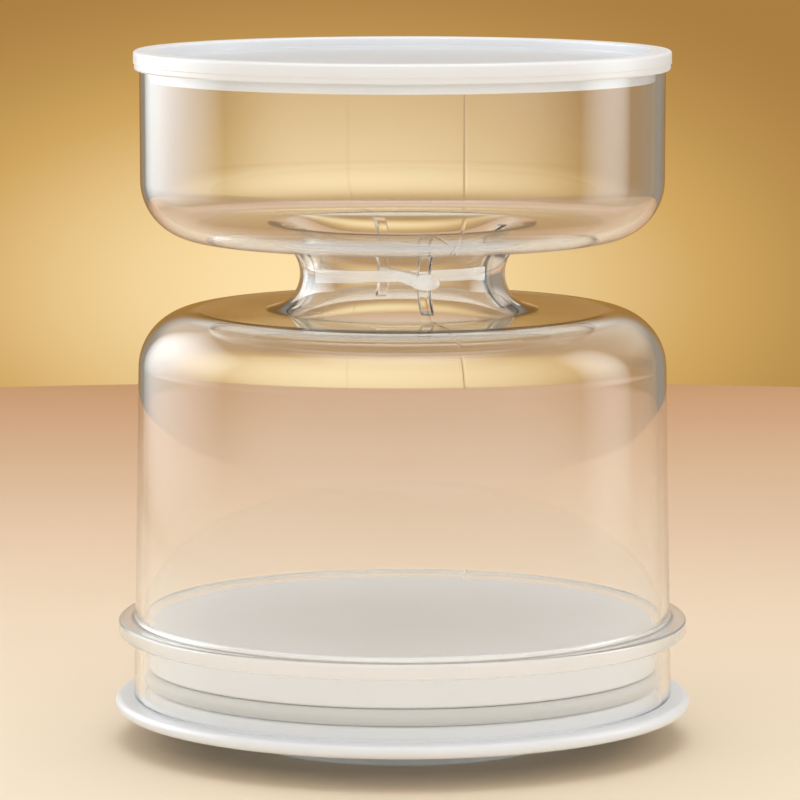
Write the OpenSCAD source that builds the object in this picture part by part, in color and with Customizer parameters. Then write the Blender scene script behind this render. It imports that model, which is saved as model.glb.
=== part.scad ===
// Hourglass dispenser jar: a clear two-chamber body that drains through a strainer when it is turned over.
// The frame stands on the table: Z is the jar's axis and Z = 0 is the underside of the foot.

/* [Jar body] */
// Outer diameter of the lower chamber at its shoulder
chamber_d = 106.2; // [101:0.2:107]
// Height from the skirt's lower edge to the top of the shoulder
lower_h = 78.3; // [60:0.1:100]
// Draft of the lower chamber's wall in degrees
lower_draft = 1.1; // [0.4:0.1:1.8]
// Outer diameter of the upper bowl above its lower corner
bowl_d = 105; // [96:0.2:112]
// Height from the underside of the bowl to its rim
bowl_h = 36.3; // [26:0.1:50]
// Draft of the bowl's wall in degrees
bowl_draft = 0.25; // [0.1:0.05:1]
// Outer radius of the shoulder and of the bowl's lower corner
corner_r = 11.8; // [6:0.1:16]
// Wall thickness of both chambers
wall = 1.8; // [1.4:0.1:2.4]

/* [Neck] */
// Outer diameter of the neck at its waist
neck_d = 41.2; // [30:0.2:56]
// Height of the neck between the two chambers
neck_h = 14.2; // [14:0.1:24]
// Wall thickness of the neck
neck_wall = 2.7; // [1.8:0.1:3.2]
// Radius of the hollow curves above and below the waist
neck_fillet = 7; // [4:0.1:7]

/* [Strainer] */
// Width of the strainer's bars
bar_w = 2.2; // [1.4:0.1:3.5]
// Height of the strainer's bars
bar_h = 3; // [2:0.1:5]
// How far the wall ribs stand into the neck
rib_depth = 1; // [0.6:0.1:2]
// Diameter of the round gate pad on the front of the neck
gate_d = 9.6; // [7:0.1:12]
// Thickness of the gate pad, with a full round edge
gate_h = 4; // [3:0.1:4.6]
// How far the gate pad stands out of the neck
gate_out = 0.7; // [0.3:0.1:1]

/* [Grip ring] */
// Outer diameter of the grip ring
ring_d = 114.8; // [111:0.2:118]
// Thickness of the grip ring
ring_h = 3.2; // [2:0.1:5]
// Height of the grip ring's underside over the skirt's lower edge
ring_z = 12.6; // [8:0.2:24]

/* [Base plug] */
// Diameter of the flange
flange_d = 116.2; // [112:0.2:122]
// Thickness of the flange
flange_t = 2.6; // [1.6:0.1:3.4]
// Diameter of the foot
foot_d = 64; // [50:0.5:76]
// How far the foot stands below the flange
foot_drop = 6.5; // [3:0.1:12]
// Wall thickness of the foot
foot_wall = 2.2; // [1.6:0.1:3.5]
// Height of the plug's floor over the flange
plug_h = 15.6; // [13:0.1:21]
// Wall thickness of the plug
plug_wall = 2.4; // [2.2:0.1:3.2]
// Thickness of the plug's floor
floor_t = 1.8; // [1.4:0.1:3]
// Radial gap between the plug and the skirt's wall at the plug's top edge
plug_gap = 1.1; // [0.8:0.1:1.6]

/* [Seal ring] */
// Height of the seal ring
seal_h = 3.4; // [2:0.1:4]
// Height of the seal ring's middle over the flange
seal_z = 4.4; // [3.2:0.1:8]
// Depth of the groove that holds the ring
groove_depth = 1; // [0.8:0.1:1.2]

/* [Top lid] */
// How far the lid's rim stands out over the bowl's wall
lid_over = 1.15; // [1:0.05:2]
// Height of the lid's outer lip
lip_h = 3.9; // [3.6:0.1:6]
// Height of the lip's upper band, which stands out over its lower band
lip_band = 2.6; // [1.6:0.1:2.8]
// How far the upper band stands out over the lower band
lip_step = 0.2; // [0.1:0.05:0.3]
// Thickness of the lid's rim over the bowl's edge
lid_t = 1.4; // [1:0.1:2]
// Thickness of the wall between the sunken panel and the channel for the bowl's edge
lid_web = 0.8; // [0.6:0.1:1.6]
// Depth of the sunken panel
panel_depth = 2.1; // [1:0.1:4]
// Thickness of the sunken panel
panel_t = 1.5; // [1:0.1:2.5]
// Depth of the lid's inner plug below the lid's top
lid_plug_h = 5.9; // [4.6:0.1:9]
// Thickness of the lid's inner plug
lid_plug_wall = 1.5; // [1.2:0.1:2.4]

/* [Fits] */
// Radial gap between mouldings that slide past each other
clear = 0.3; // [0.3:0.05:0.5]
// Gap around the seal ring in its groove
seal_gap = 0.05; // [0.03:0.01:0.1]

/* [Hidden] */
$fn = 128;
// A small overlap that joins shapes of one moulding
eps = 0.2;

// Heights, from the table up
z_flange = foot_drop;
z_skirt = z_flange + flange_t;
z_ring = z_skirt + ring_z;
z_floor = z_skirt + plug_h;
z_shoulder = z_skirt + lower_h;
z_bowl = z_shoulder + neck_h;
z_rim = z_bowl + bowl_h;
z_top = z_rim + lid_t;
z_waist = (z_shoulder + z_bowl) / 2;

// Radii of the body
skirt_r = chamber_d / 2 + (lower_h - corner_r) * tan(lower_draft);
brim_r = drawn(bowl_d / 2 + (bowl_h - corner_r) * tan(bowl_draft));
neck_r = neck_d / 2;
bore_r = neck_r - neck_wall;
ring_r = ring_d / 2;

// Centres of the rounded corners
lower_c = [chamber_d / 2 - corner_r, z_shoulder - corner_r];
bowl_c = [bowl_d / 2 - corner_r, z_bowl + corner_r];

// Radii of the closures
plug_r = drawn(wall_r(z_floor) - wall - plug_gap);
seal_r = drawn(wall_r(z_skirt + seal_z + seal_h) - wall - clear);
groove_r = plug_r - groove_depth;
foot_r = foot_d / 2;
lid_r = brim_r + lid_over;
lid_plug_r = drawn(brim_r - wall - (lid_plug_h - lid_t) * tan(bowl_draft) - clear);

// A size rounded to 0.01 mm, as on a drawing
function drawn(size) = round(100 * size) / 100;

// Outer radius of the lower chamber's wall at height z
function wall_r(z) = skirt_r - (z - z_skirt) * tan(lower_draft);

// Quarter disc of radius r about c, above c if side is 1 and below c if side is -1
module quarter(c, r, side) {
    intersection() {
        translate(c)
            circle(r);
        translate([c.x, c.y - (1 - side) * r])
            square(2 * r);
    }
}

// Half section of the lower chamber for a corner of radius r, open below down to height z
module lower_half(r, z) {
    foot_r = lower_c.x + r + (lower_c.y - z) * tan(lower_draft);
    quarter(lower_c, r, 1);
    polygon([[0, z], [foot_r, z], lower_c + [r, 0], lower_c + [0, r], [0, lower_c.y + r]]);
}

// Half section of the upper bowl for a corner of radius r, open above up to height z
module bowl_half(r, z) {
    top_r = bowl_c.x + r + (z - bowl_c.y) * tan(bowl_draft);
    quarter(bowl_c, r, -1);
    polygon([[0, bowl_c.y - r], bowl_c - [0, r], bowl_c + [r, 0], [top_r, z], [0, z]]);
}

// Half section of a waist of radius r between heights z0 and z1, with hollow curves of radius f
module waist_half(r, f, z0, z1) {
    difference() {
        translate([0, z0])
            square([r + f, z1 - z0]);
        translate([r + f, z0 + f])
            circle(f);
        translate([r + f, z1 - f])
            circle(f);
        translate([r, z0 + f])
            square([f + eps, z1 - z0 - 2 * f]);
    }
}

// Half section of the straight core of a waist, a little longer than the waist at both ends
module core_half(r, z0, z1) {
    translate([0, z0 - eps])
        square([r, z1 - z0 + 2 * eps]);
}

// Half section of a bar of width w and height h at [x, z], with its outer corners rounded by r
module rounded_end(x, z, w, h, r) {
    translate([x, z])
        square([w - r, h]);
    translate([x, z + r])
        square([w, h - 2 * r]);
    translate([x + w - r, z + r])
        circle(r);
    translate([x + w - r, z + h - r])
        circle(r);
}

// Half section of the grip ring, blended into the wall above it
module ring_half() {
    blend = 1.2;
    top = z_ring + ring_h;
    root = drawn(wall_r(top)) - eps;
    rounded_end(root, z_ring, ring_r - root, ring_h, 0.7);
    difference() {
        translate([root, top - eps])
            square([blend + eps, blend + eps]);
        translate([wall_r(top + blend) + blend, top + blend])
            circle(blend);
    }
}

// Clear shell of both chambers and the neck, turned from one half section
module shell() {
    rotate_extrude()
        difference() {
            union() {
                lower_half(corner_r, z_skirt);
                waist_half(neck_r, neck_fillet, z_shoulder, z_bowl);
                core_half(neck_r, z_shoulder, z_bowl);
                bowl_half(corner_r, z_rim);
                ring_half();
            }
            lower_half(corner_r - wall, z_skirt - 1);
            waist_half(bore_r, neck_fillet + wall, z_shoulder - wall, z_bowl + wall);
            core_half(bore_r, z_shoulder - wall, z_bowl + wall);
            bowl_half(corner_r - wall, z_rim + 1);
        }
}

// Strainer cross in the neck: two bars through the axis and a rib up the wall at each bar's end
module strainer() {
    intersection() {
        union() {
            for (turn = [0, 90])
                rotate(turn)
                    translate([-neck_r, -bar_w / 2, z_waist - bar_h / 2])
                        cube([2 * neck_r, bar_w, bar_h]);
            wall_ribs();
        }
        // The ends run into the middle of the neck's wall
        rotate_extrude()
            waist_half(bore_r + wall / 2, neck_fillet + wall / 2, z_shoulder - wall / 2, z_bowl + wall / 2);
    }
}

// Four ribs that follow the flare of the neck's inner wall and stand out of it by an even depth
module wall_ribs() {
    flare = wall + rib_depth;
    difference() {
        for (turn = [0 : 90 : 270])
            rotate(turn)
                translate([bore_r - rib_depth, -bar_w / 2, z_shoulder])
                    cube([neck_r, bar_w, neck_h]);
        rotate_extrude()
            waist_half(bore_r - rib_depth, neck_fillet + flare, z_shoulder - flare, z_bowl + flare);
    }
}

// Lens-shaped gate pad on the front of the neck, on the parting line: the front of a disc with a round edge
module gate_pad() {
    edge = gate_h / 2;
    reach = gate_d / 2;
    difference() {
        translate([0, reach - neck_r - gate_out, z_waist])
            rotate_extrude() {
                translate([0, -edge])
                    square([reach - edge, gate_h]);
                intersection() {
                    translate([reach - edge, 0])
                        circle(edge);
                    translate([0, -edge])
                        square([reach, gate_h]);
                }
            }
        cylinder(r = neck_r - neck_wall / 2, h = z_top);
    }
}

module jar_body() {
    color("aliceblue", 0.4) {
        shell();
        strainer();
        gate_pad();
    }
}

module top_lid() {
    lip_t = lid_over - clear;
    low_t = lip_t - lip_step;
    rim_inner = lid_plug_r - lid_web;
    rim_w = lid_r - rim_inner;
    color("ghostwhite")
        rotate_extrude()
            difference() {
                union() {
                    // Raised rim and stepped outer lip, rounded at the lip's lower edge
                    translate([rim_inner, z_rim])
                        square([rim_w - 0.6, lid_t]);
                    translate([rim_inner, z_rim])
                        square([rim_w, lid_t - 0.6]);
                    translate([lid_r - 0.6, z_top - 0.6])
                        circle(0.6);
                    translate([lid_r - lip_t, z_top - lip_band])
                        square([lip_t, lip_band - 0.6]);
                    translate([lid_r - lip_t, z_top - lip_h + low_t])
                        square([low_t, lip_h - low_t - 0.6]);
                    intersection() {
                        translate([lid_r - lip_t, z_top - lip_h + low_t])
                            circle(low_t);
                        translate([lid_r - lip_t, z_top - lip_h])
                            square(low_t);
                    }
                    // Inner plug and sunken panel
                    translate([lid_plug_r - lid_plug_wall, z_top - lid_plug_h])
                        square([lid_plug_wall, lid_plug_h - eps]);
                    translate([0, z_top - panel_depth - panel_t])
                        square([lid_plug_r, panel_t]);
                }
                // Sunken face of the panel
                translate([-1, z_top - panel_depth])
                    square([rim_inner + 1, panel_depth + 1]);
            }
}

module base_plug() {
    flange_round = flange_t / 2;
    color("ghostwhite")
        rotate_extrude()
            difference() {
                union() {
                    // Flange with a full round edge
                    translate([plug_r - plug_wall, z_flange])
                        square([flange_d / 2 - plug_r + plug_wall - flange_round, flange_t]);
                    translate([flange_d / 2 - flange_round, z_flange + flange_round])
                        circle(flange_round);
                    // Plug wall and floor, with the floor's edge rounded
                    translate([plug_r - plug_wall, z_flange])
                        square([plug_wall, z_floor - z_flange - 1]);
                    translate([0, z_floor - floor_t])
                        square([plug_r - 1, floor_t]);
                    translate([plug_r - 1, z_floor - 1])
                        circle(1);
                    // Foot ring that hangs from the floor down to the table
                    translate([foot_r - foot_wall, 0.6])
                        square([foot_wall, z_floor - 1]);
                    translate([foot_r - foot_wall, 0])
                        square([foot_wall - 0.6, z_floor - 1]);
                    translate([foot_r - 0.6, 0.6])
                        circle(0.6);
                }
                // Groove for the seal ring
                translate([groove_r, z_skirt + seal_z - seal_h / 2 - seal_gap])
                    square([groove_depth + 1, seal_h + 2 * seal_gap]);
            }
}

module seal_ring() {
    lip = seal_h / 2;
    back = groove_r + seal_gap;
    color("gainsboro")
        translate([0, 0, z_skirt + seal_z])
            rotate_extrude() {
                translate([back, -lip])
                    square([seal_r - lip - back, seal_h]);
                intersection() {
                    translate([seal_r - lip, 0])
                        circle(lip);
                    translate([back, -lip])
                        square([seal_r - back, seal_h]);
                }
            }
}

jar_body();
top_lid();
base_plug();
seal_ring();
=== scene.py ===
"""Looks of the hourglass dispenser jar: clear body with its strainer, white lid, white plug and seal ring.

Every turned piece is a grid surface: a half section of corners, rounded by arcs, is turned about the jar's
axis, and a relief moves the grid along its normals where ribs, pads and parting lines stand out. The
strainer's cross is a flat outline carried up.
"""

import math

import bpy
import numpy as np
from bpy.props import FloatProperty, FloatVectorProperty, PointerProperty
from bpy.types import NodeSocket, Operator, Panel, PropertyGroup
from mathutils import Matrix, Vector


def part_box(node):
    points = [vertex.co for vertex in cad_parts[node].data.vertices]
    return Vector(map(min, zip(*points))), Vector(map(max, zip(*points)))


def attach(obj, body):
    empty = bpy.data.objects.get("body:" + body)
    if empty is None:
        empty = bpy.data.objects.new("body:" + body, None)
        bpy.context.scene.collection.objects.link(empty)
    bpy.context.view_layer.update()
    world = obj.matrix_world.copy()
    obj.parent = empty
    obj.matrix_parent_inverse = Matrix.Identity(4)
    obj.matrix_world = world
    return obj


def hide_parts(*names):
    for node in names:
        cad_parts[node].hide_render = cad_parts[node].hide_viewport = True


bl_info = {
    "name": "Hourglass dispenser jar",
    "version": (1, 0, 0),
    "blender": (4, 5, 0),
    "location": "3D View > Sidebar > Jar",
    "description": "Builds a clear hourglass jar with a strainer neck, a lid, a base plug and a seal ring",
    "category": "Object",
}

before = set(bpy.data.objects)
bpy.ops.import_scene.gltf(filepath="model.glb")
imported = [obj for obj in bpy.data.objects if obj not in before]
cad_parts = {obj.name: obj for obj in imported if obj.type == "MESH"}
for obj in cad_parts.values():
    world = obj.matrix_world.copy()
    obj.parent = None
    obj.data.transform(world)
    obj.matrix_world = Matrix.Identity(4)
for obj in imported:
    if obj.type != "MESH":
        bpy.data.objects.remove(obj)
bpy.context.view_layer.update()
BODY_LOW, BODY_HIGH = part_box("jar_body")
LID_LOW, LID_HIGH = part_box("top_lid")
PLUG_LOW, PLUG_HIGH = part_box("base_plug")
SEAL_LOW, SEAL_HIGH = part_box("seal_ring")
MM = 0.001
FULL_TURN = 2 * math.pi
QUARTERS = np.arange(4) * math.pi / 2
BACK_AND_FRONT = QUARTERS[1::2]

# An arc's steps for a full turn: a least number and some for each mm of its radius, up to a limit in mm.
ARC_STEPS, ARC_STEPS_PER_MM, ARC_LIMIT_MM = 20, 8, 10
NECK_FINENESS = 2
EDGE_STEPS = 7
BODY_TURNS, PIECE_TURNS, TABLE_TURNS = 160, 256, 128

# Half width of a parting line, and its height round the jar: whole in front, less at the back.
SEAM_WIDTH = 0.2 * MM
SEAM_MEAN, SEAM_SWING = 0.7, 0.3
# Widths over which a wall rib's sides and ends rise.
RIB_SIDE, RIB_END = 0.3 * MM, 0.5 * MM
# How far from the neck's radius a surface still counts as the neck.
NECK_ZONE = 1 * MM
# How far a face stands out of the wall to count as part of the pad or the ring.
PROUD = 0.05 * MM
SEAL_GAP = 0.05 * MM

CLEAR_IOR, SOFT_IOR = 1.57, 1.5
# Range of a noise pattern that is used, and how far the white plastic's grain changes its roughness.
NOISE_LOW, NOISE_HIGH = 0.3, 0.7
GRAIN = 0.02
# How far inside the lid's outer wall the panel's painted shade ends, and the width of its blend.
PANEL_INSET, PANEL_BLEND = 3 * MM, 0.4 * MM

# The backdrop's glow, in sines of the angles up and sideways: its middle, reach and squash sideways.
GLOW_MIDDLE, GLOW_REACH, GLOW_SQUASH = (-0.0082, -0.1008, 0), 0.07, 0.5
GLOW_MID_STOP = 0.6
# Where the backdrop and the room in front end, as cosines of the angle to the camera's level direction.
BACKDROP_EDGE, ROOM_FRONT_EDGE = (0.94, 0.99), (-0.7, 0.1)
# Where the room beside blends into the room above, as sines of the angle up.
ROOM_ABOVE_EDGE = (0.08, 0.35)
EVEN_LIGHT, EVEN_STRENGTH = (1, 0.9, 0.8), 0.64
SENSOR_WIDTH_MM = 36

COOL, WARM = (0.86, 0.94, 1), (1, 0.92, 0.83)
# Each lamp's place (to the camera's right, away from it, and up), the height on the axis that it faces, its
# width and height, power and colour, whether it shows in polish, and whether it lights dull surfaces.
LAMPS = {
    "left_softbox": ((-0.31, 0.13, 0.19), 0.19, (0.46, 0.38), 1.42, COOL, True, False),
    "right_softbox": ((0.32, 0.02, 0.19), 0.19, (0.19, 0.38), 0.45, COOL, True, False),
    "top_softbox": ((0, 0.05, 1.1), 0.19, (1.2, 1.7), 6.4, COOL, True, True),
    "front_fill": ((0.1, -1.15, 0.45), 0.19, (0.9, 0.2), 0.75, WARM, False, True),
    "left_fill": ((-1.05, -0.6, 0.2), 0.05, (1, 0.3), 3.1, COOL, False, True),
    "right_fill": ((1.05, -0.6, 0.2), 0.05, (1, 0.3), 3.3, COOL, False, True),
}


def length(name, description, default):
    """A length in metres that the sidebar shows in scene units."""
    return FloatProperty(name=name, description=description, default=default, unit="LENGTH", precision=5)


def angle(name, description, degrees):
    """An angle, given in degrees."""
    return FloatProperty(name=name, description=description, default=math.radians(degrees), subtype="ANGLE")


def tint(name, description, default):
    """A linear colour."""
    return FloatVectorProperty(name=name, description=description, default=default, size=3, subtype="COLOR",
                               min=0, max=1)


class JarBodySizes(PropertyGroup):
    """Sizes of the clear body and its strainer."""

    skirt_radius: length("Skirt radius", "Outer radius at the skirt's lower edge", 54.377 * MM)
    draft: angle("Draft", "Lean of the lower chamber's wall", 1.1)
    bowl_radius: length("Bowl radius", "Outer radius of the bowl above its lower corner", 52.5 * MM)
    brim_radius: length("Brim radius", "Outer radius at the bowl's rim", 52.61 * MM)
    wall: length("Wall", "Wall thickness of both chambers", 1.8 * MM)
    corner: length("Corner", "Outer radius of the shoulder and of the bowl's lower corner", 11.8 * MM)
    shoulder_height: length("Shoulder height", "Height of the shoulder's top", 87.4 * MM)
    bowl_height: length("Bowl height", "Height of the bowl's underside", 101.6 * MM)
    neck_radius: length("Neck radius", "Outer radius of the neck at its waist", 20.6 * MM)
    neck_wall: length("Neck wall", "Wall thickness of the neck", 2.7 * MM)
    neck_fillet: length("Neck fillet", "Radius of the hollow curves of the neck", 7 * MM)
    ring_height: length("Ring height", "Height of the grip ring's underside", 21.7 * MM)
    ring_thickness: length("Ring thickness", "Thickness of the grip ring", 3.2 * MM)
    ring_fillet: length("Ring fillet", "Radius of the hollow curve on top of the grip ring", 1.2 * MM)
    bar_width: length("Bar width", "Width of the strainer's bars and wall ribs", 2.2 * MM)
    bar_height: length("Bar height", "Height of the strainer's bars", 3 * MM)
    bar_edge: length("Bar edge", "Rounding of the strainer's upper and lower edges", 0.35 * MM)
    bar_reach: length("Bar reach", "How far the strainer's bars reach into the wall ribs", 0.7 * MM)
    rib_depth: length("Rib depth", "How far the wall ribs stand into the neck", 1 * MM)
    gate_radius: length("Gate radius", "Radius of the gate pad's round front", 4.8 * MM)
    gate_height: length("Gate height", "Height of the gate pad", 4 * MM)
    gate_out: length("Gate relief", "How far the gate pad stands out of the neck", 0.7 * MM)
    seam_relief: length("Seam relief", "Height of the front parting line", 0.036 * MM)


class ClosureSizes(PropertyGroup):
    """Sizes of the lid, the plug and the seal ring."""

    lid_rim: length("Lid rim", "Thickness of the lid's rim over the bowl's edge", 1.4 * MM)
    lid_lip: length("Lid lip", "Height of the lid's outer lip", 3.9 * MM)
    lip_band: length("Lip band", "Height of the lip's upper band", 2.6 * MM)
    lip_step: length("Lip step", "How far the upper band stands out over the lower band", 0.2 * MM)
    lid_gap: length("Lid gap", "Radial gap between the lid's lip and the bowl's wall", 0.3 * MM)
    plug_inset: length("Plug inset", "Radial gap between the lid's plug and the bowl's wall", 0.32 * MM)
    lid_web: length("Lid web", "Wall between the sunken panel and the channel", 0.8 * MM)
    lid_plug: length("Lid plug", "Thickness of the lid's inner plug", 1.5 * MM)
    panel_depth: length("Panel depth", "Depth of the sunken panel", 2.1 * MM)
    panel: length("Panel", "Thickness of the sunken panel", 1.5 * MM)
    flange_height: length("Flange height", "Height of the flange's underside", 6.5 * MM)
    flange: length("Flange", "Thickness of the flange", 2.6 * MM)
    flange_edge: length("Flange edge", "Rounding of the flange's edge", 1.28 * MM)
    plug_radius: length("Plug radius", "Outer radius of the plug's wall", 51.18 * MM)
    plug_wall: length("Plug wall", "Thickness of the plug's wall", 2.4 * MM)
    floor: length("Floor", "Thickness of the plug's floor", 1.8 * MM)
    foot_radius: length("Foot radius", "Outer radius of the foot", 32 * MM)
    foot_wall: length("Foot wall", "Wall thickness of the foot", 2.2 * MM)
    groove: length("Groove", "Depth of the seal ring's groove", 1 * MM)


class Finishes(PropertyGroup):
    """Colours of the finishes."""

    clear_tint: tint("Clear plastic", "Tint of the clear body", (0.985, 0.99, 0.985))
    hazy_tint: tint("Dull plastic", "Tint of the strainer's cross and the gate pad", (0.93, 0.94, 0.95))
    # The ring's frost is its own dull finish; the warm grey of this tint also paints the shade that falls on
    # the plug behind the ring.
    frost_and_shade_tint: tint("Frosted plastic", "Tint of the grip ring", (0.95, 0.93, 0.90))
    lid_white: tint("Lid white", "Colour of the lid", (0.82, 0.845, 0.885))
    # The sunken panel is the same plastic as the lid; its darker colour is painted shade.
    panel_painted_shade: tint("Lid panel white", "Colour of the lid's thin panel", (0.655, 0.69, 0.735))
    plug_white: tint("Plug white", "Colour of the plug", (0.79, 0.815, 0.85))
    seal_white: tint("Seal", "Colour of the seal ring", (0.59, 0.605, 0.60))


class StageSettings(PropertyGroup):
    """Camera, table, backdrop and room."""

    lens: FloatProperty(name="Lens", description="Focal length on a 36 mm sensor", default=218.8)
    distance: length("Distance", "From the camera to the point it looks at", 0.980)
    azimuth: angle("Azimuth", "Turn of the camera about the jar, from the front", -13)
    elevation: angle("Elevation", "Height angle of the camera", 7.14)
    aim_height: length("Aim height", "Height of the point the camera looks at", 0.06875)
    aim_side: length("Aim side", "Sideways place of that point, as the camera sees it", -0.0005)
    table_radius: length("Table radius", "Radius of the round table top", 0.60)
    table_depth: length("Table depth", "Thickness of the table top", 20 * MM)
    table_edge: length("Table edge", "Rounding of the table top's edge", 4 * MM)
    # The pale colour at the jar is painted light and sheen; the far colour is the table's own deeper tone.
    table_near_painted_light: tint("Table near", "Colour of the table top at the jar", (0.91, 0.775, 0.595))
    table_far: tint("Table far", "Colour of the table top at its far edge", (0.60, 0.315, 0.14))
    backdrop_glow: tint("Backdrop glow", "Colour of the backdrop in its middle", (1.0, 0.761, 0.402))
    backdrop_mid: tint("Backdrop between", "Colour of the backdrop around its middle", (0.637, 0.385, 0.118))
    backdrop_edge: tint("Backdrop edge", "Colour of the backdrop further out", (0.407, 0.212, 0.054))
    room_side: tint("Room beside", "Colour of the room beside the backdrop", (0.33, 0.28, 0.22))
    room_above: tint("Room above", "Colour of the room above the backdrop", (0.72, 0.66, 0.58))
    room_front: tint("Room in front", "Colour of the room behind the camera", (1.0, 0.95, 0.88))


def rounded_outline(corners, closed):
    """Corner points joined by straight lines and rounded by tangent arcs.

    Each corner is (radius from the axis, height, rounding) and may end in a fineness of its arc. The heading
    turns evenly from the line into a corner to the line out of it, and the point is the arc's centre plus the
    rounding times the normal.
    Returns points, outward normals and corner numbers. The solid lies on the left of the path. An open
    path starts and ends on the axis.
    """
    spots = np.array([corner[:2] for corner in corners])
    rounding = np.array([corner[2] for corner in corners])
    step = np.roll(spots, -1, axis=0) - spots
    heading = np.arctan2(step[:, 1], step[:, 0])
    if not closed:
        heading[-1] = heading[-2]
    arriving = np.roll(heading, 1)
    if not closed:
        arriving[0] = heading[0]
    turn = (heading - arriving + math.pi) % FULL_TURN - math.pi
    side = np.sign(turn)
    trim = rounding * np.tan(np.abs(turn) / 2)
    points, normals, numbers = [], [], []
    for i, spot in enumerate(spots):
        fineness = corners[i][3] if len(corners[i]) > 3 else 1
        per_turn = fineness * (ARC_STEPS + ARC_STEPS_PER_MM * min(rounding[i] / MM, ARC_LIMIT_MM))
        straight = abs(turn[i]) < 1e-6
        count = 0 if straight else int(np.ceil(abs(turn[i]) / FULL_TURN * per_turn))
        bearing = arriving[i] + turn[i] * np.linspace(0, 1, count + 1)
        normal = np.stack([np.sin(bearing), -np.cos(bearing)], axis=1)
        ahead = np.array([math.cos(arriving[i]), math.sin(arriving[i])])
        left = np.array([-ahead[1], ahead[0]])
        centre = spot - trim[i] * ahead + side[i] * rounding[i] * left
        points.append(centre + side[i] * rounding[i] * normal)
        normals.append(normal)
        numbers.append(np.full(count + 1, i))
    return np.concatenate(points), np.concatenate(normals), np.concatenate(numbers)


def even_turns(count):
    """Angles round the axis at even steps."""
    return np.linspace(0, FULL_TURN, count, endpoint=False)


def mesh_object(name, points, faces, normals):
    """A smooth mesh object at the origin from points, normals and faces, which are a list of index arrays."""
    loops = np.concatenate([face.ravel() for face in faces]).astype(np.int32)
    totals = np.concatenate([np.full(len(face), face.shape[1]) for face in faces]).astype(np.int32)
    starts = np.concatenate([[0], np.cumsum(totals)[:-1]]).astype(np.int32)
    mesh = bpy.data.meshes.new(name)
    mesh.vertices.add(len(points))
    mesh.vertices.foreach_set("co", points.astype(np.float32).ravel())
    mesh.loops.add(len(loops))
    mesh.loops.foreach_set("vertex_index", loops)
    mesh.polygons.add(len(totals))
    mesh.polygons.foreach_set("loop_start", starts)
    mesh.polygons.foreach_set("use_smooth", np.ones(len(totals), bool))
    mesh.update(calc_edges=True)
    if mesh.validate():
        raise RuntimeError(f"{name} has a bad face")
    mesh.normals_split_custom_set_from_vertices(normals.astype(np.float32))
    piece = bpy.data.objects.new(name, mesh)
    bpy.context.scene.collection.objects.link(piece)
    return piece


def turned(name, outline, turns, closed, relief=None):
    """Surface of revolution of an outline, raised along its normals by a relief.

    The point of row i and turn t is (r cos t, r sin t, z), where (r, z) is the outline's point plus the
    relief times its normal. The normal leans back by the relief's slope along the outline and round the
    axis. An open outline ends in one pole at each end, joined by a fan of triangles.
    """
    points, normals, numbers = outline
    rows, columns = len(points), len(turns)
    height = np.zeros((rows, columns)) if relief is None else relief(points, numbers, turns)
    radius = points[:, :1] + height * normals[:, :1]
    up = points[:, 1:] + height * normals[:, 1:]
    cos_t, sin_t = np.cos(turns), np.sin(turns)
    grid = np.stack([radius * cos_t, radius * sin_t, up + 0 * turns], axis=2)
    along = np.concatenate([[0], np.cumsum(np.linalg.norm(np.diff(points, axis=0), axis=1))])
    slope_along = np.gradient(height, along, axis=0)
    wrapped = np.concatenate([height[:, -1:], height, height[:, :1]], axis=1)
    wrapped_turns = np.concatenate([turns[-1:] - FULL_TURN, turns, turns[:1] + FULL_TURN])
    slope_round = np.gradient(wrapped, wrapped_turns, axis=1)[:, 1:-1] / np.maximum(radius, 0.1 * MM)
    lean_r = normals[:, :1] + slope_along * normals[:, 1:]
    lean_z = normals[:, 1:] - slope_along * normals[:, :1]
    facing_x = lean_r * cos_t + slope_round * sin_t
    facing_y = lean_r * sin_t - slope_round * cos_t
    facing = np.stack([facing_x, facing_y, lean_z], axis=2)
    facing /= np.linalg.norm(facing, axis=2, keepdims=True)
    index = np.arange(rows * columns).reshape(rows, columns)
    ahead = np.roll(index, -1, axis=1)
    if closed:
        above, above_ahead = np.roll(index, -1, axis=0), np.roll(ahead, -1, axis=0)
        quads = np.stack([index, ahead, above_ahead, above], axis=2).reshape(-1, 4)
        return mesh_object(name, grid.reshape(-1, 3), [quads], facing.reshape(-1, 3))
    inner = index[1:-1] - columns + 1
    inner_ahead = ahead[1:-1] - columns + 1
    last = inner[-1, -1] + 1
    quads = np.stack([inner[:-1], inner_ahead[:-1], inner_ahead[1:], inner[1:]], axis=2).reshape(-1, 4)
    first_fan = np.stack([0 * inner[0], inner_ahead[0], inner[0]], axis=1)
    last_fan = np.stack([inner[-1], inner_ahead[-1], 0 * inner[-1] + last], axis=1)
    poles = np.array([[0, 0, points[0, 1]], [0, 0, points[-1, 1]]])
    pole_normals = np.array([[0, 0, normals[0, 1]], [0, 0, normals[-1, 1]]])
    co = np.concatenate([poles[:1], grid[1:-1].reshape(-1, 3), poles[1:]])
    no = np.concatenate([pole_normals[:1], facing[1:-1].reshape(-1, 3), pole_normals[1:]])
    return mesh_object(name, co, [quads, first_fan, last_fan], no)


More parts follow.
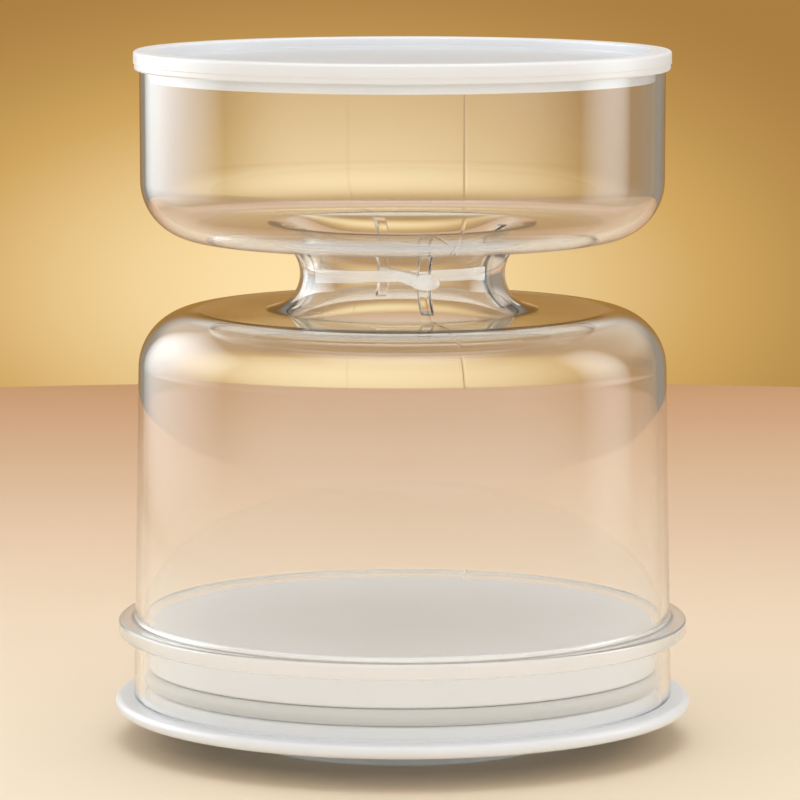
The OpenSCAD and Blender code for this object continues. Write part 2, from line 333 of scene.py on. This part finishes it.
def slab(name, outline, low, high, edge):
    """A flat outline carried up from low to high, with its upper and lower edges rounded.

    A point of the outline moves in along its normal by edge times (1 - cos a) as the rounding's angle a
    goes from a right angle below to level, stays out up the side, and moves in again above.
    """
    points, normals, _ = outline
    tilt = np.radians(np.concatenate([np.linspace(-90, 0, EDGE_STEPS), np.linspace(0, 90, EDGE_STEPS)]))
    centre = np.where(np.arange(len(tilt)) < EDGE_STEPS, low + edge, high - edge)
    out = edge * (np.cos(tilt) - 1)
    up = centre + edge * np.sin(tilt)
    flat = points[None] + out[:, None, None] * normals[None]
    rows, columns = flat.shape[:2]
    grid = np.concatenate([flat, np.broadcast_to(up[:, None, None], (rows, columns, 1))], axis=2)
    level, rise = np.cos(tilt)[:, None, None], np.sin(tilt)[:, None, None]
    facing = np.concatenate([level * normals[None], np.broadcast_to(rise, (rows, columns, 1))], axis=2)
    index = np.arange(rows * columns).reshape(rows, columns)
    ahead = np.roll(index, -1, axis=1)
    quads = np.stack([index[:-1], ahead[:-1], ahead[1:], index[1:]], axis=2).reshape(-1, 4)
    caps = [index[:1, ::-1], index[-1:]]
    return mesh_object(name, grid.reshape(-1, 3), [quads] + caps, facing.reshape(-1, 3))


def smooth(x):
    """Smooth step from 0 to 1 as x goes from 0 to 1."""
    x = np.clip(x, 0, 1)
    return x * x * (3 - 2 * x)


def turn_distance(turns, places):
    """Angle from each turn to the nearest of some places."""
    gap = (turns[:, None] - places[None] + math.pi) % FULL_TURN - math.pi
    return np.abs(gap).min(axis=1)


def wall_radius(size, z):
    """Outer radius of the lower chamber's leaning wall at a height."""
    return size.skirt_radius - (z - BODY_LOW.z) * math.tan(size.draft)


def waist_height(size):
    """Height of the neck's waist."""
    return (size.shoulder_height + size.bowl_height) / 2


def body_outline(size):
    """Half section of the clear body: up the outside, over the rim, and down the inside."""
    low, rim = BODY_LOW.z, BODY_HIGH.z
    wall, corner, fillet = size.wall, size.corner, size.neck_fillet
    shoulder, bowl = size.shoulder_height, size.bowl_height
    ring, ring_low, ring_top = BODY_HIGH.x, size.ring_height, size.ring_height + size.ring_thickness
    bore = size.neck_radius - size.neck_wall
    ring_edge, rim_edge = 0.7 * MM, 0.4 * MM
    return rounded_outline([
        (wall_radius(size, low) - wall, low, 0.3 * MM),
        (wall_radius(size, low), low, 0.35 * MM),
        (wall_radius(size, ring_low), ring_low, 0.25 * MM),
        (ring, ring_low, ring_edge),
        (ring, ring_top, ring_edge),
        (wall_radius(size, ring_top), ring_top, size.ring_fillet),
        (wall_radius(size, shoulder), shoulder, corner),
        (size.neck_radius, shoulder, fillet, NECK_FINENESS),
        (size.neck_radius, bowl, fillet, NECK_FINENESS),
        (size.bowl_radius, bowl, corner),
        (size.brim_radius, rim, rim_edge),
        (size.brim_radius - wall, rim, rim_edge),
        (size.bowl_radius - wall, bowl + wall, corner - wall),
        (bore, bowl + wall, fillet + wall),
        (bore, shoulder - wall, fillet + wall),
        (wall_radius(size, shoulder) - wall, shoulder - wall, corner - wall),
    ], closed=True)


def body_turns():
    """Angles round the body: an even fan, closer at the wall ribs, the gate pad and the parting lines."""
    # Degrees from the middle of the pad, of a rib (closest where its side rises) and of a parting line.
    pad = QUARTERS[3] + np.radians(np.linspace(-9, 9, 49))
    rib = np.concatenate([np.linspace(2.6, 4.4, 10), [1, 5.5, 7]])
    ribs = QUARTERS[:3, None] + np.radians(np.concatenate([-rib, [0], rib]))
    seams = BACK_AND_FRONT[:, None] + np.radians(np.linspace(-0.5, 0.5, 21))
    turns = np.concatenate([even_turns(BODY_TURNS), pad, ribs.ravel(), seams.ravel()])
    turns = np.sort(turns % FULL_TURN)
    least_gap = 5e-4
    return turns[np.diff(turns, prepend=-1) > least_gap]


def body_relief(size):
    """Relief of the body: parting lines and a gate pad outside, and four wall ribs inside the neck.

    A parting line is a bell curve across the front and back meridians, lower at the back. The gate pad is a
    disc with a round edge whose front stands out of the neck. A rib is a smooth-sided step of even height
    across its quarter.
    """
    waist = waist_height(size)
    half_neck = (size.bowl_height - size.shoulder_height) / 2
    pad_edge = size.gate_height / 2
    pad_middle = size.neck_radius + size.gate_out - size.gate_radius

    def relief(points, numbers, turns):
        radius, up = points[:, :1], points[:, 1:]
        off_waist = np.abs(up - waist)
        outside = (numbers[:, None] > 0) & (numbers[:, None] <= numbers[np.argmax(points[:, 1])])
        on_neck = radius < size.neck_radius + NECK_ZONE
        seam = radius * turn_distance(turns, BACK_AND_FRONT)
        seam_height = size.seam_relief * (SEAM_MEAN - SEAM_SWING * np.sin(turns))
        seams = outside * seam_height * np.exp(-(seam / SEAM_WIDTH) ** 2)
        across = radius * np.cos(turns)
        reach = size.gate_radius - pad_edge + np.sqrt(np.maximum(pad_edge**2 - off_waist**2, 0))
        front = pad_middle + np.sqrt(np.maximum(reach**2 - across**2, 0))
        pad = np.maximum(front - np.sqrt(np.maximum(radius**2 - across**2, 0)), 0)
        in_front = np.sin(turns) < -0.8
        pad = pad * (outside & on_neck & (off_waist < pad_edge) & in_front)
        side = radius * turn_distance(turns, QUARTERS)
        rib = smooth((size.bar_width / 2 + RIB_SIDE / 2 - side) / RIB_SIDE)
        ends = smooth((half_neck - off_waist) / RIB_END)
        return seams + pad + (~outside & on_neck) * size.rib_depth * rib * ends

    return relief


def strainer_outline(size):
    """Plan of the strainer's cross: four arms with rounded inner corners, ending in the wall ribs."""
    half = size.bar_width / 2
    end = size.neck_radius - size.neck_wall - size.rib_depth + size.bar_reach
    end_edge, inner_edge = 0.5 * MM, 0.8 * MM
    arm = [(end, -half, end_edge), (end, half, end_edge), (half, half, inner_edge)]
    corners = []
    for c, s in ((1, 0), (0, 1), (-1, 0), (0, -1)):
        corners += [(c * x - s * y, s * x + c * y, rounding) for x, y, rounding in arm]
    return rounded_outline(corners, closed=True)


def lid_outline(size, body):
    """Half section of the lid: out along the underside, round plug, channel and rim, in along the panel."""
    top, low, radius = LID_HIGH.z, LID_LOW.z, LID_HIGH.x
    rim = top - size.lid_rim
    panel_top = top - size.panel_depth
    panel_low = panel_top - size.panel
    lip_low = top - size.lid_lip
    band_low = top - size.lip_band
    lip_in = body.brim_radius + size.lid_gap
    plug = body.brim_radius - body.wall - size.plug_inset
    plug_in, web = plug - size.lid_plug, plug - size.lid_web
    plug_edge, channel_edge = 0.4 * MM, 0.2 * MM
    return rounded_outline([
        (0, panel_low, 0),
        (plug_in, panel_low, plug_edge),
        (plug_in, low, plug_edge),
        (plug, low, plug_edge),
        (plug, rim, channel_edge),
        (lip_in, rim, channel_edge),
        (lip_in, lip_low, 0.08 * MM),
        (radius - size.lip_step, lip_low, 0.5 * MM),
        (radius - size.lip_step, band_low, 0.05 * MM),
        (radius, band_low, 0.12 * MM),
        (radius, top, 0.6 * MM),
        (web, top, 0.45 * MM),
        (web, panel_top, 0.5 * MM),
        (0, panel_top, 0),
    ], closed=False)


def plug_outline(size):
    """Half section of the plug: under the floor, round foot, flange and groove, and over the floor."""
    low, floor_top, floor_low = PLUG_LOW.z, PLUG_HIGH.z, PLUG_HIGH.z - size.floor
    foot, foot_in = size.foot_radius, size.foot_radius - size.foot_wall
    plug, wall_in = size.plug_radius, size.plug_radius - size.plug_wall
    flange, flange_low, flange_top = PLUG_HIGH.x, size.flange_height, size.flange_height + size.flange
    groove, groove_low, groove_top = plug - size.groove, SEAL_LOW.z - SEAL_GAP, SEAL_HIGH.z + SEAL_GAP
    fillet, groove_corner = 0.6 * MM, 0.1 * MM
    return rounded_outline([
        (0, floor_low, 0),
        (foot_in, floor_low, fillet),
        (foot_in, low, 0.3 * MM),
        (foot, low, fillet),
        (foot, floor_low, fillet),
        (wall_in, floor_low, fillet),
        (wall_in, flange_low, 0.5 * MM),
        (flange, flange_low, size.flange_edge),
        (flange, flange_top, size.flange_edge),
        (plug, flange_top, 0.4 * MM),
        (plug, groove_low, 0.8 * MM),
        (groove, groove_low, groove_corner),
        (groove, groove_top, groove_corner),
        (plug, groove_top, 0.7 * MM),
        (plug, floor_top, 1 * MM),
        (0, floor_top, 0),
    ], closed=False)


def seal_outline(size):
    """Half section of the seal ring: flat at the back, round at the front."""
    back = size.plug_radius - size.groove + SEAL_GAP
    low, high, front = SEAL_LOW.z, SEAL_HIGH.z, SEAL_HIGH.x
    back_edge, front_edge = 0.15 * MM, 0.49 * (high - low)
    return rounded_outline([
        (back, low, back_edge),
        (front, low, front_edge),
        (front, high, front_edge),
        (back, high, back_edge),
    ], closed=True)


def table_outline(stage):
    """Half section of the round table top, level with the floor's zero."""
    radius, low, edge = stage.table_radius, -stage.table_depth, stage.table_edge
    return rounded_outline([(0, low, 0), (radius, low, edge), (radius, 0, edge), (0, 0, 0)], closed=False)


def fill(tree, node, inputs):
    """Fills a node's inputs: another node's output is linked, and a constant is set on the socket."""
    for key, value in inputs.items():
        if isinstance(value, NodeSocket):
            tree.links.new(value, node.inputs[key])
        else:
            node.inputs[key].default_value = value
    return node


def added(tree, kind, inputs, **choices):
    """A new shader node with its choices made and its inputs filled."""
    node = tree.nodes.new("ShaderNode" + kind)
    for key, value in choices.items():
        setattr(node, key, value)
    return fill(tree, node, inputs)


def new_material(name):
    """A node material, with its tree, its shader and the object's coordinates."""
    material = bpy.data.materials.new(name)
    material.use_nodes = True
    tree = material.node_tree
    place = tree.nodes.new("ShaderNodeTexCoord").outputs["Object"]
    return material, tree, tree.nodes["Principled BSDF"], place


def noise(tree, place, scale, detail):
    """A noise pattern of so many features per metre."""
    return added(tree, "TexNoise", {"Vector": place, "Scale": scale, "Detail": detail}).outputs["Fac"]


def spread(tree, value, low, high):
    """The used range of a noise pattern mapped to low to high."""
    ends = {"From Min": NOISE_LOW, "From Max": NOISE_HIGH, "To Min": low, "To Max": high}
    return added(tree, "MapRange", {"Value": value, **ends}).outputs["Result"]


def between(tree, value, start, end, shape="SMOOTHSTEP"):
    """0 to 1 as a value goes from start to end."""
    inputs = {"Value": value, "From Min": start, "From Max": end}
    return added(tree, "MapRange", inputs, interpolation_type=shape).outputs["Result"]


def blended(tree, factor, first, second):
    """A blend from one colour to another."""
    inputs = {"Factor": factor, "A": first, "B": second}
    return added(tree, "Mix", inputs, data_type="RGBA").outputs["Result"]


def tinted(tree, pattern, colour, change):
    """A colour that a pattern makes darker by up to change."""
    return blended(tree, pattern, (*[c * (1 - change) for c in colour], 1), (*colour, 1))


def dot(tree, value, axis):
    """How far a vector reaches along an axis."""
    return added(tree, "VectorMath", {0: value, 1: axis}, operation="DOT_PRODUCT").outputs["Value"]


def maths(tree, operation, first, second):
    """Two numbers joined by a maths operation."""
    return added(tree, "Math", {0: first, 1: second}, operation=operation).outputs["Value"]


def bump(tree, height, depth, strength):
    """A bump of the given depth in metres."""
    inputs = {"Height": height, "Distance": depth, "Strength": strength}
    return added(tree, "Bump", inputs).outputs["Normal"]


def within(tree, place, radius, inner, outer):
    """One colour within a radius from the axis and another outside it."""
    flat = added(tree, "VectorMath", {0: place, 1: (1, 1, 0)}, operation="MULTIPLY").outputs["Vector"]
    reach = added(tree, "VectorMath", {0: flat}, operation="LENGTH").outputs["Value"]
    edge = between(tree, reach, radius - PANEL_BLEND, radius, "LINEAR")
    return blended(tree, edge, inner, outer)


def clear_plastic(colour):
    """Clear polished plastic: a faint swirl from moulding in its surface, and a little haze in patches."""
    material, tree, shader, place = new_material("clear_plastic")
    fill(tree, shader, {
        "Base Color": (*colour, 1),
        "IOR": CLEAR_IOR,
        "Transmission Weight": 1,
        "Roughness": spread(tree, noise(tree, place, scale=60, detail=3), low=0.008, high=0.03),
        "Normal": bump(tree, noise(tree, place, scale=38, detail=1), depth=0.3 * MM, strength=0.12),
    })
    return material


def hazy_plastic(name, colour, clearness, low, high, dent):
    """The same clear plastic where it left the mould dull.

    It is milky, with small dents and a sheen whose roughness goes from low to high.
    """
    material, tree, shader, place = new_material(name)
    fill(tree, shader, {
        "Base Color": (*colour, 1),
        "IOR": CLEAR_IOR,
        "Transmission Weight": clearness,
        "Roughness": spread(tree, noise(tree, place, scale=90, detail=1), low, high),
        "Normal": bump(tree, noise(tree, place, scale=400, detail=1), depth=0.1 * MM, strength=dent),
    })
    return material


def soft_white_plastic(name, colour, roughness, glow, depth, panel=None):
    """White soft plastic: light soaks in to a depth, and the skin has a fine moulded grain and a faint cloud.

    A panel is a second, darker colour that paints shade, and the radius from the axis within which it holds.
    """
    material, tree, shader, place = new_material(name)
    cloud = spread(tree, noise(tree, place, scale=55, detail=0), low=0, high=1)
    white = tinted(tree, cloud, colour, change=0.02)
    if panel:
        panel_colour, panel_radius = panel
        white = within(tree, place, panel_radius, tinted(tree, cloud, panel_colour, change=0.03), white)
    grain = noise(tree, place, scale=900, detail=0)
    fill(tree, shader, {
        "Base Color": white,
        "IOR": SOFT_IOR,
        "Roughness": spread(tree, grain, roughness - GRAIN, roughness + GRAIN),
        "Subsurface Weight": glow,
        "Subsurface Radius": (1, 0.95, 0.9),
        "Subsurface Scale": depth,
        "Normal": bump(tree, noise(tree, place, scale=45, detail=0), depth=0.3 * MM, strength=0.03),
    })
    return material


def table_material(stage, away):
    """Plain matte table top with a faint unevenness, pale with painted light and sheen at the jar and
    deepening to its own tone at the far edge.
    """
    material, tree, shader, place = new_material("pale_table")
    cloud = spread(tree, noise(tree, place, scale=6, detail=3), low=0, high=1)
    near = tinted(tree, cloud, stage.table_near_painted_light, change=0.04)
    far = tinted(tree, cloud, stage.table_far, change=0.04)
    # From the jar to the far edge the painted light and sheen fade out.
    depth = dot(tree, place, away / stage.table_radius)
    fill(tree, shader, {"Base Color": blended(tree, depth, near, far), "Roughness": 0.8})
    return material


def studio_world(stage, right, away):
    """A backdrop behind the jar that glows in its middle, in a plain room, and even light.

    What the camera and the clear plastic see is the backdrop and the room. All else gets the even light.
    """
    world = bpy.data.worlds.new("studio")
    world.use_nodes = True
    tree = world.node_tree
    even = fill(tree, tree.nodes["Background"], {"Color": (*EVEN_LIGHT, 1), "Strength": EVEN_STRENGTH})
    ways = tree.nodes.new("ShaderNodeTexCoord").outputs["Generated"]
    up = added(tree, "SeparateXYZ", {"Vector": ways}).outputs["Z"]
    side = dot(tree, ways, GLOW_SQUASH * right)
    spot = added(tree, "CombineXYZ", {"X": side, "Y": up}).outputs["Vector"]
    reach = added(tree, "VectorMath", {0: spot, 1: GLOW_MIDDLE}, operation="DISTANCE").outputs["Value"]
    glow = added(tree, "ValToRGB", {"Fac": between(tree, reach, 0, GLOW_REACH)})
    glow.color_ramp.elements.new(GLOW_MID_STOP)
    tones = (stage.backdrop_glow, stage.backdrop_mid, stage.backdrop_edge)
    for stop, tone in zip(glow.color_ramp.elements, tones):
        stop.color = (*tone, 1)
    facing = dot(tree, ways, away)
    above = between(tree, up, *ROOM_ABOVE_EDGE)
    back = blended(tree, above, (*stage.room_side, 1), (*stage.room_above, 1))
    room = blended(tree, between(tree, facing, *ROOM_FRONT_EDGE), (*stage.room_front, 1), back)
    around = blended(tree, between(tree, facing, *BACKDROP_EDGE), room, glow.outputs["Color"])
    backdrop = added(tree, "Background", {"Color": around})
    rays = tree.nodes.new("ShaderNodeLightPath").outputs
    seen = maths(tree, "MAXIMUM", rays["Is Camera Ray"], rays["Is Glossy Ray"])
    seen = maths(tree, "MAXIMUM", seen, rays["Is Transmission Ray"])
    choose = added(tree, "MixShader", {
        "Fac": seen,
        1: even.outputs["Background"],
        2: backdrop.outputs["Background"],
    })
    fill(tree, tree.nodes["World Output"], {"Surface": choose.outputs["Shader"]})
    return world


def dress(piece, material, body):
    """Gives a piece its material and body."""
    piece.data.materials.append(material)
    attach(piece, body)


def dull_faces(body, pad_material, ring_material, size):
    """Gives the faces of the gate pad and of the grip ring, which stand out, materials of their own."""
    mesh = body.data
    centre = np.empty(3 * len(mesh.polygons))
    mesh.polygons.foreach_get("center", centre)
    x, y, z = centre.reshape(-1, 3).T
    radius = np.hypot(x, y)
    off_waist = np.abs(z - waist_height(size))
    fillet = size.neck_fillet
    straight = (size.bowl_height - size.shoulder_height) / 2 - fillet
    into_fillet = np.maximum(off_waist - straight, 0)
    neck = size.neck_radius + fillet - np.sqrt(np.maximum(fillet**2 - into_fillet**2, 0))
    pad = (radius > neck + PROUD) & (radius < neck + 2 * size.gate_out) & (y < 0)
    pad &= off_waist < size.gate_height / 2
    ring_low, ring_top = size.ring_height, size.ring_height + size.ring_thickness
    margin = 0.1 * MM
    ring = (radius > wall_radius(size, z) + PROUD) & (z > ring_low - margin)
    ring &= z < ring_top + size.ring_fillet + margin
    mesh.materials.append(pad_material)
    mesh.materials.append(ring_material)
    mesh.polygons.foreach_set("material_index", (pad + 2 * ring).astype(np.int32))


def let_light_through(piece):
    """Lets soft light reach what is behind a thin clear wall without grain."""
    piece.visible_shadow = False
    piece.visible_diffuse = False


class JAR_OT_body(Operator):
    """Build the clear body with its strainer cross"""

    bl_idname = "jar.body"
    bl_label = "Clear body"

    def execute(self, context):
        size, finish = context.scene.jar_body_sizes, context.scene.jar_finishes
        clear = clear_plastic(finish.clear_tint)
        hazy = hazy_plastic("hazy_plastic", finish.hazy_tint, clearness=0.6, low=0.14, high=0.22, dent=0.2)
        # The grip ring is frosted, and its grey tint also paints the shade on the plug behind it.
        frosted_and_shaded = hazy_plastic("frosted_and_shaded_plastic", finish.frost_and_shade_tint, clearness=0.65, low=0.1, high=0.2,
                               dent=0.05)
        body = turned("clear_body", body_outline(size), body_turns(), True, body_relief(size))
        dress(body, clear, "jar")
        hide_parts("jar_body")
        dull_faces(body, hazy, frosted_and_shaded, size)
        let_light_through(body)
        low = waist_height(size) - size.bar_height / 2
        cross = slab("strainer_cross", strainer_outline(size), low, low + size.bar_height, size.bar_edge)
        dress(cross, hazy, "jar")
        let_light_through(cross)
        return {"FINISHED"}


class JAR_OT_lid(Operator):
    """Build the white lid"""

    bl_idname = "jar.lid"
    bl_label = "Lid"

    def execute(self, context):
        body, finish = context.scene.jar_body_sizes, context.scene.jar_finishes
        outline = lid_outline(context.scene.jar_closure_sizes, body)
        lid = turned("white_lid", outline, even_turns(PIECE_TURNS), False)
        # The panel's darker colour is painted shade on the lid's sunken panel.
        panel = (finish.panel_painted_shade, body.brim_radius - PANEL_INSET)
        white = soft_white_plastic("lid_white", finish.lid_white, roughness=0.34, glow=0.5, depth=2 * MM,
                                   panel=panel)
        dress(lid, white, "lid")
        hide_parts("top_lid")
        return {"FINISHED"}


class JAR_OT_plug(Operator):
    """Build the white base plug with its flange and foot"""

    bl_idname = "jar.plug"
    bl_label = "Base plug"

    def execute(self, context):
        size, finish = context.scene.jar_closure_sizes, context.scene.jar_finishes
        plug = turned("white_plug", plug_outline(size), even_turns(PIECE_TURNS), False)
        white = soft_white_plastic("plug_white", finish.plug_white, roughness=0.35, glow=0.35, depth=1.5 * MM)
        dress(plug, white, "base")
        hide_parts("base_plug")
        return {"FINISHED"}


class JAR_OT_seal(Operator):
    """Build the seal ring in the plug's groove"""

    bl_idname = "jar.seal"
    bl_label = "Seal ring"

    def execute(self, context):
        size, finish = context.scene.jar_closure_sizes, context.scene.jar_finishes
        seal = turned("pale_seal", seal_outline(size), even_turns(PIECE_TURNS), True)
        pale = soft_white_plastic("seal_pale", finish.seal_white, roughness=0.5, glow=0.2, depth=1.5 * MM)
        dress(seal, pale, "base")
        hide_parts("seal_ring")
        return {"FINISHED"}


def stage_point(side, depth, up, azimuth):
    """A place seen from the camera's side: to its right, away from it, and up from the floor."""
    right = Vector((math.cos(azimuth), math.sin(azimuth), 0))
    away = Vector((-math.sin(azimuth), math.cos(azimuth), 0))
    return right * side + away * depth + Vector((0, 0, up))


def turn_to(holder, target):
    """Turns a camera or a lamp to face a target."""
    holder.rotation_euler = (target - holder.location).to_track_quat("-Z", "Y").to_euler()


def fade_out(lamp):
    """Makes a lamp fade from its middle to its edges: the strength is 6u(1 - u) times 6v(1 - v)."""
    lamp.use_nodes = True
    tree = lamp.node_tree
    place = tree.nodes.new("ShaderNodeNewGeometry").outputs["Parametric"]
    spot = added(tree, "SeparateXYZ", {"Vector": place}).outputs
    arches = []
    for side in ("X", "Y"):
        arch = maths(tree, "MULTIPLY", spot[side], maths(tree, "SUBTRACT", 1, spot[side]))
        arches.append(maths(tree, "MULTIPLY", arch, 6))
    fill(tree, tree.nodes["Emission"], {"Strength": maths(tree, "MULTIPLY", *arches)})


def softbox(name, place, target, size, power, colour, mirrored, lighting):
    """A rectangular area lamp that faces a target. It shows in polish, lights dull surfaces, or does both."""
    lamp = bpy.data.lights.new(name, "AREA")
    lamp.shape = "RECTANGLE"
    lamp.size, lamp.size_y = size
    lamp.energy = power
    lamp.color = colour
    fade_out(lamp)
    holder = bpy.data.objects.new(name, lamp)
    holder.visible_camera = False
    holder.visible_glossy = mirrored
    holder.visible_diffuse = lighting
    holder.visible_transmission = mirrored and lighting
    holder.location = place
    turn_to(holder, target)
    bpy.context.scene.collection.objects.link(holder)


def set_camera(scene, stage):
    """Puts the camera at its distance from the point it looks at, round the jar and up."""
    aim = stage_point(stage.aim_side, 0, stage.aim_height, stage.azimuth)
    back, rise = stage.distance * math.cos(stage.elevation), stage.distance * math.sin(stage.elevation)
    lens = bpy.data.cameras.new("camera")
    lens.lens = stage.lens
    lens.sensor_width = SENSOR_WIDTH_MM
    camera = bpy.data.objects.new("camera", lens)
    camera.location = aim + stage_point(0, -back, rise, stage.azimuth)
    turn_to(camera, aim)
    scene.collection.objects.link(camera)
    scene.camera = camera


class JAR_OT_stage(Operator):
    """Set the camera, the table, the backdrop and the lamps"""

    bl_idname = "jar.stage"
    bl_label = "Stage"

    def execute(self, context):
        scene = context.scene
        stage = scene.jar_stage
        right, away = stage_point(1, 0, 0, stage.azimuth), stage_point(0, 1, 0, stage.azimuth)
        table = turned("table_top", table_outline(stage), even_turns(TABLE_TURNS), False)
        table.data.materials.append(table_material(stage, away))
        set_camera(scene, stage)
        for name, (place, aim_height, *rest) in LAMPS.items():
            softbox(name, stage_point(*place, stage.azimuth), Vector((0, 0, aim_height)), *rest)
        scene.world = studio_world(stage, right, away)
        scene.view_settings.view_transform = "Standard"
        return {"FINISHED"}


class JAR_PT_parts(Panel):
    """The jar's sizes, finishes and pieces"""

    bl_idname = "JAR_PT_parts"
    bl_label = "Hourglass jar"
    bl_space_type = "VIEW_3D"
    bl_region_type = "UI"
    bl_category = "Jar"

    def draw(self, context):
        for operator in OPERATORS:
            self.layout.operator(operator.bl_idname)
        for name in SETTINGS:
            group = getattr(context.scene, name)
            box = self.layout.box()
            for key in group.__annotations__:
                box.prop(group, key)


OPERATORS = (JAR_OT_body, JAR_OT_lid, JAR_OT_plug, JAR_OT_seal, JAR_OT_stage)
SETTINGS = {
    "jar_body_sizes": JarBodySizes,
    "jar_closure_sizes": ClosureSizes,
    "jar_finishes": Finishes,
    "jar_stage": StageSettings,
}


def register():
    for name, group in SETTINGS.items():
        bpy.utils.register_class(group)
        setattr(bpy.types.Scene, name, PointerProperty(type=group))
    for operator in OPERATORS:
        bpy.utils.register_class(operator)
    bpy.utils.register_class(JAR_PT_parts)


def unregister():
    bpy.utils.unregister_class(JAR_PT_parts)
    for operator in reversed(OPERATORS):
        bpy.utils.unregister_class(operator)
    for name, group in SETTINGS.items():
        delattr(bpy.types.Scene, name)
        bpy.utils.unregister_class(group)


def main():
    register()
    bpy.ops.jar.stage()
    bpy.ops.jar.body()
    bpy.ops.jar.lid()
    bpy.ops.jar.plug()
    bpy.ops.jar.seal()


if __name__ == "__main__":
    main()
